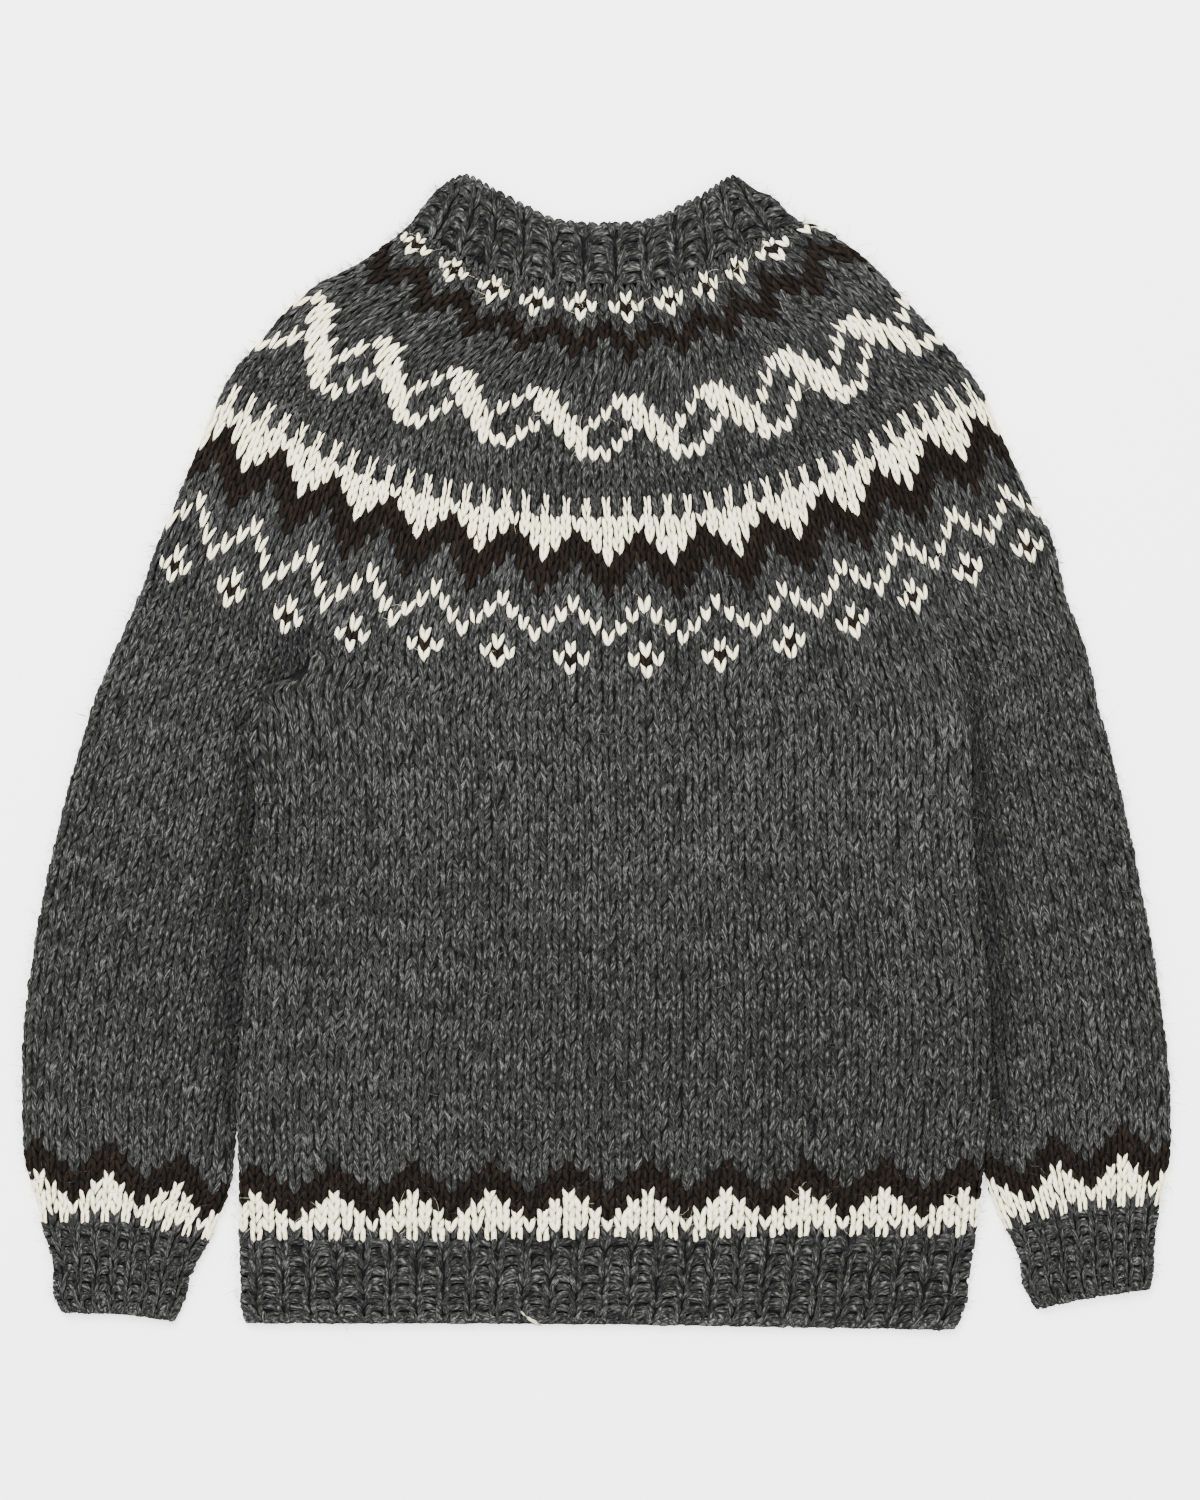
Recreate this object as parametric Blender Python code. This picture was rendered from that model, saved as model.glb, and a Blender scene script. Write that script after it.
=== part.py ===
"""Nordic yoke sweater, hand knitted in the round and laid flat on its back.

Each knitted piece is a flattened tube: a front and a back layer of cloth joined along two side folds
and open at both ends. The body lies over the inner edges of the two sleeves. X runs across the
garment, Y runs from the hem to the neck, and Z is up from the surface that it lies on. The tables
below are in millimetres, and the objects are made in metres.
"""

import bpy
import bmesh
from collections import namedtuple
from mathutils import Vector
from mathutils.geometry import interpolate_bezier

MM = 0.001

# Driving dimensions, in millimetres.
WALL = 3.4  # thickness of the knitted cloth
LAYER_GAP = 0.8  # air between the front and the back layer
STACK = 2 * WALL + LAYER_GAP  # height of one flattened tube
SEAM = 0.36  # gap between two pieces where they are joined
CLEARANCE = 0.7  # air between the sleeve and the body that lies on it
LIFT = STACK + CLEARANCE  # how far the body rises where it lies on a sleeve
COVER = 7.0  # the body stays at full height this far past the sleeve's inner edge
RAMP = 34.0  # and comes down to the surface over this width
CURVE_STEPS = 24  # points on each span of a course before it is divided into columns

# Courses of the round yoke, from the seam with the body up to the neckband. A course is a row of
# stitches, and runs from the left shoulder fold, past the left armpit, the middle of the chest and
# the right armpit, to the right shoulder fold.
Course = namedtuple("Course", "lx ly alx aly mx my arx ary rx ry")
YOKE_COURSES = (
    Course(-263, 92, -165, 51, 7, 30, 208, 51, 271, 89),
    Course(-256, 112, -180, 84, 7, 54, 186, 97, 263, 122),
    Course(-240, 150, -167, 118, 7, 85, 181, 126, 247, 153),
    Course(-231, 172, -162, 148, 7, 111, 172, 154, 234, 181),
    Course(-214, 211, -151, 173, 7, 141, 162, 183, 220, 212),
    Course(-195, 236, -147, 207, 7, 172, 141, 204, 198, 239),
    Course(-165, 267, -127, 238, 8, 202, 146, 248, 174, 265),
    Course(-140, 280, -101, 255, 6, 230, 101, 253, 155, 285),
    Course(-113, 299, -82, 278, 6, 258, 99, 288, 126, 304),
)
NECK_COURSES = (
    Course(-107, 305, -74, 283, 5, 270, 86, 289, 117, 306),
    Course(-93, 321, -56, 301, 3, 287, 66, 304, 102, 320),
    Course(-81, 331, -44, 315, 1, 302, 48, 314, 86, 330),
)

# Sections of the body below the yoke: the left edge, the middle and the right edge, how far each edge
# lies over the sleeve beside it, and how much of the full lift both edges have there.
Band = namedtuple("Band", "lx ly mx my rx ry over_l over_r rise")
BODY_BANDS = (
    Band(-187, 37, 7, 20, 213, 36, 0, 0, 1.0),
    Band(-198, 21, 7, 6, 215, 19, 14, 10, 1.0),
    Band(-196, -21, 8, -27, 216, -23, 21, 20, 1.0),
    Band(-198, -73, 9, -79, 219, -76, 18, 20, 1.0),
    Band(-203, -142, 11, -145, 227, -142, 13, 13, 1.0),
    Band(-207, -194, 11, -194, 227, -191, 6, 8, 1.0),
    Band(-206, -243, 11, -241, 223, -240, 0, 0, 0.45),
    Band(-205, -280, 10, -280, 219, -277, 0, 0, 0.1),
)
HEM_BANDS = (
    Band(-205, -280, 10, -280, 219, -277, 0, 0, 0.1),
    Band(-203, -308, 9, -307, 214, -306, 0, 0, 0.0),
    Band(-199, -329, 7, -329, 208, -331, 0, 0, 0.0),
)

# Sections of each sleeve below the yoke, from its left edge to its right edge.
Ring = namedtuple("Ring", "lx ly mx my rx ry")
LEFT_SLEEVE_RINGS = (
    Ring(-268, 80, -228, 58, -189, 39),
    Ring(-278, 58, -230, 36, -182, 21),
    Ring(-289, 31, -232, 10, -177, -8),
    Ring(-298, 2, -236, -19, -176, -36),
    Ring(-307, -30, -243, -49, -180, -64),
    Ring(-315, -64, -251, -83, -187, -96),
    Ring(-324, -112, -259, -128, -195, -140),
    Ring(-330, -160, -266, -173, -201, -184),
    Ring(-331, -200, -271, -208, -209, -217),
    Ring(-330, -228, -270, -230, -210, -243),
    Ring(-320, -271, -273, -270, -224, -284),
)
LEFT_CUFF_RINGS = (
    Ring(-320, -271, -273, -270, -224, -284),
    Ring(-315, -297, -274, -297, -231, -304),
    Ring(-309, -322, -272, -322, -239, -323),
)
RIGHT_SLEEVE_RINGS = (
    Ring(216, 37, 250, 54, 278, 71),
    Ring(207, 15, 249, 33, 285, 50),
    Ring(199, -10, 247, 9, 290, 25),
    Ring(197, -33, 249, -13, 297, 0),
    Ring(200, -64, 254, -44, 304, -29),
    Ring(206, -96, 261, -77, 311, -62),
    Ring(213, -140, 269, -121, 320, -107),
    Ring(219, -185, 275, -168, 327, -155),
    Ring(227, -220, 280, -208, 331, -198),
    Ring(229, -247, 280, -237, 331, -231),
    Ring(239, -275, 281, -265, 324, -264),
)
RIGHT_CUFF_RINGS = (
    Ring(239, -275, 281, -265, 324, -264),
    Ring(244, -296, 282, -291, 322, -288),
    Ring(250, -316, 285, -312, 319, -309),
)

# Shape of a side fold, as shares of the stack: how far in from the edge, and how high.
Fold = namedtuple("Fold", "inset height")
OUTER_FOLD = (Fold(0.13, 0.80), Fold(0.0, 0.5), Fold(0.13, 0.20))
INNER_FOLD_INSET = 0.52  # the inside of the fold, as a share of the stack
FLAT_FROM = 0.46  # the layers are flat from here inwards, as a share of the stack

# Distances from a side fold to the columns next to it, and the number of columns between them.
BODY_RAMP_SHARES = (0.0, 0.3, 0.65, 1.0)
BODY_INNER_COLUMNS = 11
YOKE_COLUMNS = 24
NECK_COLUMNS = 18
SLEEVE_COLUMNS = 7

YARN = {
    "charcoal": ((0.085, 0.086, 0.088, 1.0), 0.95),
    "rib": ((0.072, 0.073, 0.075, 1.0), 0.95),
}


def clear_scene():
    for item in list(bpy.data.objects):
        bpy.data.objects.remove(item, do_unlink=True)


def yarn_material(name, yarn):
    colour, roughness = YARN[yarn]
    material = bpy.data.materials.new(name)
    material.use_nodes = True
    shader = material.node_tree.nodes["Principled BSDF"]
    shader.inputs["Base Color"].default_value = colour
    shader.inputs["Roughness"].default_value = roughness
    shader.inputs["Metallic"].default_value = 0.0
    return material


def points_of(row):
    """The guide points of a table row, as vectors in the plane of the surface."""
    named = row._asdict()
    across = [value for name, value in named.items() if name.endswith("x")]
    along = [value for name, value in named.items() if name.endswith("y")]
    return [Vector((x, y, 0.0)) for x, y in zip(across, along)]


def smooth_course(points):
    """Spans of a smooth curve through the guide points, each a list of CURVE_STEPS + 1 points."""
    first = points[0] * 2 - points[1]
    last = points[-1] * 2 - points[-2]
    padded = [first] + points + [last]
    spans = []
    for before, start, end, after in zip(padded, padded[1:], padded[2:], padded[3:]):
        reach = (end - start).length
        lead = (end - before) * (reach / ((start - before).length + reach))
        trail = (after - start) * (reach / ((after - end).length + reach))
        knots = (start, start + lead / 3, end - trail / 3, end)
        spans.append(interpolate_bezier(*knots, CURVE_STEPS + 1))
    return spans


def joined(spans):
    """One list of points from spans that meet end to end."""
    line = list(spans[0])
    for span in spans[1:]:
        line.extend(span[1:])
    return line


def point_along(line, distance):
    """The point that lies this far along a line of points."""
    for start, end in zip(line, line[1:]):
        step = (end - start).length
        if distance <= step:
            return start.lerp(end, distance / step)
        distance -= step
    return line[-1].copy()


def length_of(line):
    return sum((b - a).length for a, b in zip(line, line[1:]))


def even_columns(line, count):
    """Distances along a section: one just inside each fold, and the rest evenly between them."""
    total = length_of(line)
    edge = FLAT_FROM * STACK
    step = (total - 2 * edge) / (count - 1)
    return [edge + step * index for index in range(count)]


def body_columns(line, over_left, over_right):
    """Columns of a body section, close together where it comes down from the sleeves."""
    total = length_of(line)
    left = [over_left + COVER + RAMP * share for share in BODY_RAMP_SHARES]
    right = [total - (over_right + COVER + RAMP * share) for share in BODY_RAMP_SHARES]
    step = (right[-1] - left[-1]) / (BODY_INNER_COLUMNS + 1)
    middle = [left[-1] + step * index for index in range(1, BODY_INNER_COLUMNS + 1)]
    edge = FLAT_FROM * STACK
    return [edge] + left + middle + right[::-1] + [total - edge]


def eased(share):
    share = min(max(share, 0.0), 1.0)
    return share * share * (3 - 2 * share)


def body_lift(total, over_left, over_right, rise):
    """Height of the body above the surface, from the distance along its section."""
    def lift(distance):
        left = (distance - over_left - COVER) / RAMP
        right = (total - distance - over_right - COVER) / RAMP
        return LIFT * rise * (1 - eased(min(left, right)))
    return lift


def no_lift(_distance):
    return 0.0


def raised(point, height):
    return Vector((point.x, point.y, height))


def loops_of(line, columns, lift):
    """The outer and the inner loop of a flattened tube at one section, front layer first."""
    total = length_of(line)
    outer = [raised(point_along(line, d), lift(d) + STACK) for d in columns]
    inner = [raised(point_along(line, d), lift(d) + STACK - WALL) for d in columns]
    inset = INNER_FOLD_INSET * STACK
    for fold in OUTER_FOLD:
        place = total - fold.inset * STACK
        outer.append(raised(point_along(line, place), lift(total) + fold.height * STACK))
    inner_place = point_along(line, total - inset)
    inner.extend(raised(inner_place, lift(total) + STACK * 0.5 + LAYER_GAP * z) for z in (0.3, 0.0, -0.3))
    outer.extend(raised(point_along(line, d), lift(d)) for d in reversed(columns))
    inner.extend(raised(point_along(line, d), lift(d) + WALL) for d in reversed(columns))
    for fold in reversed(OUTER_FOLD):
        place = fold.inset * STACK
        outer.append(raised(point_along(line, place), lift(0.0) + fold.height * STACK))
    inner_place = point_along(line, inset)
    inner.extend(raised(inner_place, lift(0.0) + STACK * 0.5 + LAYER_GAP * z) for z in (-0.3, 0.0, 0.3))
    return outer, inner


def pulled_in(end_loop, next_loop):
    """An end loop moved half a seam's width towards the loop beside it."""
    moved = []
    for here, there in zip(end_loop, next_loop):
        gap = (there - here).length
        moved.append(here.lerp(there, SEAM / 2 / gap))
    return moved


def shut_ends(sections):
    """Moves both end sections half a seam's width inwards."""
    last = len(sections) - 1
    for end, beside in ((0, 1), (last, last - 1)):
        pairs = zip(sections[end], sections[beside])
        sections[end] = tuple(pulled_in(loop, other) for loop, other in pairs)


def tube_object(name, sections, material):
    """A closed solid from the outer and the inner loops of its sections."""
    mesh = bpy.data.meshes.new(name)
    work = bmesh.new()
    walls = []
    for outer, inner in sections:
        walls.append([[work.verts.new(point * MM) for point in loop] for loop in (outer, inner)])
    count = len(walls[0][0])
    for here, there in zip(walls, walls[1:]):
        for wall in (0, 1):
            for index in range(count):
                after = (index + 1) % count
                work.faces.new((here[wall][index], here[wall][after], there[wall][after], there[wall][index]))
    for outer, inner in (walls[0], walls[-1]):
        for index in range(count):
            after = (index + 1) % count
            work.faces.new((outer[index], outer[after], inner[after], inner[index]))
    bmesh.ops.triangulate(work, faces=work.faces[:])
    bmesh.ops.recalc_face_normals(work, faces=work.faces[:])
    work.to_mesh(mesh)
    work.free()
    mesh.materials.append(material)
    mesh.shade_smooth()
    mesh.set_sharp_from_angle(angle=0.7)
    piece = bpy.data.objects.new(name, mesh)
    bpy.context.scene.collection.objects.link(piece)
    return piece


def section_tube(name, lines, count, yarn):
    """A flattened tube that lies on the surface, with evenly spaced columns."""
    sections = [loops_of(line, even_columns(line, count), no_lift) for line in lines]
    shut_ends(sections)
    return tube_object(name, sections, yarn_material(name + "_yarn", yarn))


def inset_line(line, amount):
    """A section shortened at both of its folds, to stay clear of the piece beside it."""
    total = length_of(line)
    start, end = point_along(line, amount), point_along(line, total - amount)
    kept = []
    travelled = 0.0
    for before, point in zip(line, line[1:]):
        travelled += (point - before).length
        if amount < travelled < total - amount:
            kept.append(point)
    return [start] + kept + [end]


def body_piece(name, rows, yarn):
    """The body or its hem: sections that rise over the sleeves at both sides."""
    sections = []
    for line, over_left, over_right, rise in rows:
        lift = body_lift(length_of(line), over_left, over_right, rise)
        sections.append(loops_of(line, body_columns(line, over_left, over_right), lift))
    shut_ends(sections)
    return tube_object(name, sections, yarn_material(name + "_yarn", yarn))


def band_rows(bands):
    """The line of each band, with how far it lies over the sleeves and how far it rises."""
    lines = [joined(smooth_course(points_of(band))) for band in bands]
    return [(line, band.over_l, band.over_r, band.rise) for line, band in zip(lines, bands)]


def build():
    clear_scene()
    seam_spans = smooth_course(points_of(YOKE_COURSES[0]))
    body_top = inset_line(joined(seam_spans[1:3]), SEAM)
    left_top = inset_line(list(seam_spans[0]), SEAM)
    right_top = inset_line(list(seam_spans[3]), SEAM)

    yoke_lines = [joined(smooth_course(points_of(row))) for row in YOKE_COURSES + NECK_COURSES[:1]]
    section_tube("yoke", yoke_lines, YOKE_COLUMNS, "charcoal")
    neck_lines = [joined(smooth_course(points_of(row))) for row in NECK_COURSES]
    section_tube("neckband", neck_lines, NECK_COLUMNS, "rib")

    body_rows = [(body_top, 0, 0, 0.0)] + band_rows(BODY_BANDS)
    body_piece("body", body_rows, "charcoal")
    body_piece("hem_rib", band_rows(HEM_BANDS), "rib")

    for side, top, rings, cuff in (
        ("left", left_top, LEFT_SLEEVE_RINGS, LEFT_CUFF_RINGS),
        ("right", right_top, RIGHT_SLEEVE_RINGS, RIGHT_CUFF_RINGS),
    ):
        lines = [top] + [joined(smooth_course(points_of(ring))) for ring in rings]
        section_tube("sleeve_" + side, lines, SLEEVE_COLUMNS, "charcoal")
        cuff_lines = [joined(smooth_course(points_of(ring))) for ring in cuff]
        section_tube("cuff_" + side, cuff_lines, SLEEVE_COLUMNS, "rib")


build()
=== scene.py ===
"""Nordic yoke sweater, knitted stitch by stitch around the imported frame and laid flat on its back.

Every piece is a flattened tube of knitting. A stitch is placed by its wale (column) and its row, and a
chart gives the yarn of each stitch. Tables are in millimetres; the finished meshes are in metres.
"""

import math
from collections import namedtuple

import bpy
import numpy as np
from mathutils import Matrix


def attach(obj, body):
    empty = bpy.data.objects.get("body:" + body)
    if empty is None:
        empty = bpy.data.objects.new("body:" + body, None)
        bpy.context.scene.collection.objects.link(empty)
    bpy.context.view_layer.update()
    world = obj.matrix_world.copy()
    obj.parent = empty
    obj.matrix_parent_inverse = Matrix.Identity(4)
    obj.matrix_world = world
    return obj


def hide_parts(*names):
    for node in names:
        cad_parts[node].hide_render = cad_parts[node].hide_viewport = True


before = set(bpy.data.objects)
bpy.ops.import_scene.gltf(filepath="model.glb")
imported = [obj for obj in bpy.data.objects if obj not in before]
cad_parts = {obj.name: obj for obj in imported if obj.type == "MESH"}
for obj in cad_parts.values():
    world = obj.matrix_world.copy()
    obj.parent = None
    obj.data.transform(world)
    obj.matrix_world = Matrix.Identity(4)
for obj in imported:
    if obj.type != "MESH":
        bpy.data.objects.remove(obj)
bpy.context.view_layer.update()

bl_info = {
    "name": "Nordic Yoke Sweater",
    "version": (1, 0, 0),
    "blender": (4, 5, 0),
    "location": "3D View > Sidebar > Sweater",
    "description": "Knits a round-yoke sweater stitch by stitch and lays it flat",
    "category": "Object",
}

MM = 0.001

# The flattened tube, as in the solids: two layers of cloth and the air between them.
WALL = 3.4
LAYER_GAP = 0.8
STACK = 2 * WALL + LAYER_GAP
FOLD = STACK / 2  # radius of a side fold
GROUND = FOLD - WALL / 2  # radius of the ground cloth that the stitches stand on
SPINE = 3.0  # radius at which wales are counted round a fold
FOLD_EXTRA = math.pi / 2 * SPINE - FOLD  # length that a fold adds to each end of a section

# Where the body lies on a sleeve, it rises by LIFT with its edge, stays up over the sleeve's own edge
# for COVER, and eases down again over RAMP.
LIFT = STACK + 0.7
COVER = 7.0
RAMP = 34.0

# Guide courses of the yoke and the neckband, each at a row of the knitting. A course runs over the
# front from the left shoulder fold to the right. Its guides are (wale, x, y), the wales counted from
# the middle of the chest. The last guide's wale is half of the front's wales in the course's count.
Course = namedtuple("Course", "row guides")
YOKE_COURSES = (
    Course(-3, (
        (-41.5, -263, 92), (-24.5, -165, 51), (0, 7, 30), (28.5, 208, 51), (41.5, 271, 89),
    )),
    Course(-1, (
        (-41.5, -259, 102), (-24, -163, 61), (-12, -78, 49), (0, 7, 41.5),
        (12, 93, 47.5), (24, 170, 70), (36, 235, 101), (41.5, 266, 110),
    )),
    Course(1, (
        (-41.5, -256, 112), (-36, -226, 101), (-24, -161, 72), (-12, -78, 60), (0, 7, 53),
        (12, 93, 59), (24, 166, 82), (36, 231, 112), (41.5, 263, 122),
    )),
    Course(6, (
        (-41.5, -240, 150), (-36, -212, 137), (-24, -147, 108), (-12, -74, 91), (0, 7, 85),
        (12, 90, 89), (24, 158, 113), (36, 221, 144), (41.5, 247, 153),
    )),
    Course(10, (
        (-41.5, -231, 172), (-36, -202, 165), (-24, -137, 138), (-12, -67, 120), (0, 7, 112),
        (12, 82, 118), (24, 149, 140), (36, 211, 172), (41.5, 234, 181),
    )),
    Course(15, (
        (-41.5, -214, 211), (-36, -188, 197), (-24, -129, 166), (-12, -63, 149), (0, 6, 143),
        (12, 76, 149), (24, 140, 171), (36, 196, 203), (41.5, 220, 212),
    )),
    Course(20, (
        (-41.5, -195, 236), (-36, -174, 219), (-24, -118, 195), (-12, -61, 181), (0, 6, 171),
        (12, 69, 176), (24, 126, 195), (36, 174, 226), (41.5, 198, 239),
    )),
    Course(25, (
        (-41.5, -165, 267), (-36, -150, 250), (-24, -104, 226), (-12, -52, 210), (0, 6, 201),
        (12, 62, 207), (24, 110, 229), (36, 156, 253), (41.5, 174, 265),
    )),
    Course(29, (
        (-21, -140, 280), (-15, -101, 256), (-9, -58, 237), (-3, -13, 230), (3, 37, 230),
        (9, 78, 240), (15, 112, 257), (21, 155, 285),
    )),
    Course(34, (
        (-21, -113, 299), (-15, -82, 278), (-9, -47, 262), (-3, -9, 257), (3, 31, 257),
        (9, 64, 268), (15, 89, 283), (21, 126, 304),
    )),
    Course(36.5, (
        (-21, -107, 305), (-15, -78, 286), (-9, -44, 274), (-3, -9, 269), (3, 29, 270),
        (9, 61, 280), (15, 87, 293), (21, 117, 306),
    )),
)
NECK_COURSES = (
    Course(36.5, (
        (-13, -107, 305), (-7, -61, 280), (-3, -25, 271), (0, 2, 269), (3, 29, 270),
        (7, 64, 282), (13, 117, 306),
    )),
    Course(39.5, (
        (-13, -95, 321), (-7, -58, 302), (-3, -25, 289), (0, 2, 286), (3, 29, 289),
        (7, 62, 302), (13, 102, 320),
    )),
    Course(42.5, (
        (-13, -89, 326), (-11.6, -83.5, 328), (-10.2, -75, 329.5), (-7, -57, 320.5), (-3, -25, 305),
        (0, 2, 302), (3, 29, 304), (7, 61, 318.5), (10.6, 79, 329), (11.9, 86, 327.5), (13, 92.5, 322.5),
    )),
)
ARMPITS = (1, 3)  # guides of the first course at the two armpits
YOKE_HALF = 41.5  # wales from the middle of the chest to a shoulder fold, in the lower yoke
BODY_HALF = 28.5  # the same, to a side fold of the body
LEFT_ARMPIT = -24.5  # the left armpit lies a few wales in from the body's side fold
HEM_WALES = 55.0  # across the front of the hem
NECK_HALF = 13

# Sections of the body: edges and middle, how far each edge lies over a sleeve, the share of the full
# lift, and the wales at the two edges. The hem counts its wales from the left edge.
Band = namedtuple(
    "Band", "row lx ly mx my rx ry over_l over_r rise_l rise_r wl wr", defaults=(-BODY_HALF, BODY_HALF)
)
BODY_BANDS = (
    Band(-4.7, -187, 39.5, 7, 20, 213, 36, 0, 0, 0.9, 0.12, -26.8),
    Band(-7.2, -198, 21, 7, 6, 216, 19, 14, 10, 1.0, 0.35),
    Band(-13.0, -196, -21, 8, -27, 216, -23, 21, 20, 1.0, 0.8),
    Band(-22.1, -198, -73, 8, -79, 219, -76, 18, 20, 1.0, 1.0),
    Band(-33.7, -203, -142, 8, -145, 227, -142, 13, 13, 1.0, 1.0),
    Band(-42.3, -207, -194, 7, -194, 227, -191, 6, 8, 1.0, 1.0),
    Band(-50.6, -206, -243, 7, -241, 223, -240, 0, 0, 0.45, 0.45),
    Band(-57.5, -206, -280, 6.5, -280, 219.5, -277, 0, 0, 0.1, 0.1),
)
HEM_BANDS = (
    Band(-57.5, -206, -280, 6, -280, 219.5, -277, 0, 0, 0.1, 0.1, 0.0, HEM_WALES),
    Band(-62.7, -205, -308, 5, -307, 215, -306, 0, 0, 0.0, 0.0, 0.0, HEM_WALES),
    Band(-66.3, -204.5, -321, 4, -321.5, 212.5, -322.5, 0, 0, 0.0, 0.0, 0.0, HEM_WALES),
    Band(-67.5, -202, -326.6, 3, -327.2, 208.5, -330, 0, 0, 0.0, 0.0, 0.0, HEM_WALES),
)
FIRST_COURSE = -3.0  # the row of the seam between the yoke and the other tubes
BODY_LAST_ROW = -57
HEM_ROWS = 10

# Sections of a sleeve or cuff, from its left edge to its right edge. start and wales are the wales at
# the outer fold and at the inner edge, counted from the outer fold's usual place. Their number grows
# under the arm.
Ring = namedtuple("Ring", "lx ly mx my rx ry wales start", defaults=(17.0, 0.0))
LEFT_SLEEVE_RINGS = (
    Ring(-268, 80, -228, 58, -169, 35, 16.0, -1.0),
    Ring(-278, 58, -230, 36, -171, 18, 16.8, -1.0),
    Ring(-289, 31, -232, 10, -175, -9, 16.8, -1.0),
    Ring(-298, 2, -236, -19, -176, -36, 17.0, -1.0),
    Ring(-307, -30, -243, -49, -180, -64, 17.0, -1.0),
    Ring(-315, -64, -251, -83, -187, -96, 17.0, -1.0),
    Ring(-324, -112, -259, -128, -195, -140, 17.0, -1.0),
    Ring(-330, -160, -266, -173, -201, -184, 17.0, -1.0),
    Ring(-331, -200, -270, -209, -206.5, -217, 17.0, -1.0),
    Ring(-330, -228, -270, -231, -208.5, -243, 17.0, -0.9),
    Ring(-320, -271, -273, -271, -222, -281, 17.2, 0.0),
)
LEFT_CUFF_RINGS = (
    Ring(-320, -271, -273, -271, -222, -281),
    Ring(-313, -295, -274, -297, -233.5, -303),
    Ring(-312, -314, -274, -315, -237, -317),
    Ring(-308.5, -320.5, -273, -321.5, -241, -325),
)
RIGHT_SLEEVE_RINGS = (
    Ring(207, 33, 250, 54, 278, 71, 14.0),
    Ring(202, 13, 249, 33, 285, 50, 15.3),
    Ring(198, -11, 247, 9, 290, 25, 16.2),
    Ring(197, -33, 249, -13, 297, 0, 16.8),
    Ring(200, -64, 254, -44, 304, -29),
    Ring(206, -96, 261, -77, 311, -62),
    Ring(213, -140, 269, -121, 320, -107),
    Ring(218, -185, 273, -167, 327, -154),
    Ring(221, -219, 276, -205, 331, -195),
    Ring(223.5, -245, 278, -234, 331, -228),
    Ring(235.5, -274, 283, -263, 325.5, -260.5),
)
RIGHT_CUFF_RINGS = (
    Ring(235.5, -274, 283, -263, 325.5, -260.5),
    Ring(243.5, -291, 283, -284, 322, -281),
    Ring(246.5, -310, 286, -303, 321.5, -301),
    Ring(252.5, -318.5, 287, -311.5, 319.5, -307.5),
)
ROW_PITCH = 5.75
CUFF_ROWS = 10

# Charts, top row first. A point is charcoal, w is cream, c a tight cream stitch between two charcoal
# ones, o a cream one with its legs apart above a rib, and k is black-brown.
Chart = namedtuple("Chart", "bottom rows")
LOWER_YOKE_CHART = Chart(0, (
    ".c.c.c",
    ".c.c.c",
    "wwwwww",
    "kwwwww",
    "kkwwwk",
    "kkkwkk",
    ".kkkkk",
    "..kkk.",
    "...k..",
    "w.....",
    ".w...w",
    "..w.w.",
    "...w..",
    "w.....",
    "kw...w",
    "w.....",
))
WAVE_CHART = Chart(20, (
    "..www...",
    ".w.www..",
    "w...www.",
    "...w.www",
    "..w...ww",
    "ww.....w",
))
COLLAR_CHART = Chart(29, (
    "w...",
    "kw.w",
    "w...",
    "..k.",
    ".kkk",
    "kk.k",
    "k...",
))
BORDER_CHART = Chart(1, (
    "k.....",
    "kk...k",
    "kkk.kk",
    "wkkkkk",
    "wwkkkw",
    "wwwkww",
    "wwwwww",
    "o.o.o.",
))

# Zones of the yoke, from the armpits to the neckband. Rounds of decreases part them. half is the wale
# of a shoulder fold, and first_column the wale at which the chart starts.
Zone = namedtuple("Zone", "first last half chart first_column")
YOKE_ZONES = (
    Zone(-1, 17, YOKE_HALF, LOWER_YOKE_CHART, 3),
    Zone(18, 27, 32.5, WAVE_CHART, -1),
    Zone(28, 36, 21.0, COLLAR_CHART, 1),
)

# The letters of the charts are kinds of stitch. The first three kinds are plain ones of the three yarns.
LETTERS = ".wkco"
YARN_OF_KIND = (0, 1, 2, 1, 1)
YARN_NAMES = ("charcoal", "cream", "black_brown")
CHARCOAL, CREAM, BLACK_BROWN = range(3)
MAP_NAME = "OFBake"
TILES = 8  # the yarn's own map holds TILES x TILES strips of yarn
STRIP_MARGIN = 0.06  # the share of a strip that is left free at each edge
REST_LEVEL = 0.05  # the underside is pressed flat where it rests on the table


# Lines and sections


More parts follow.
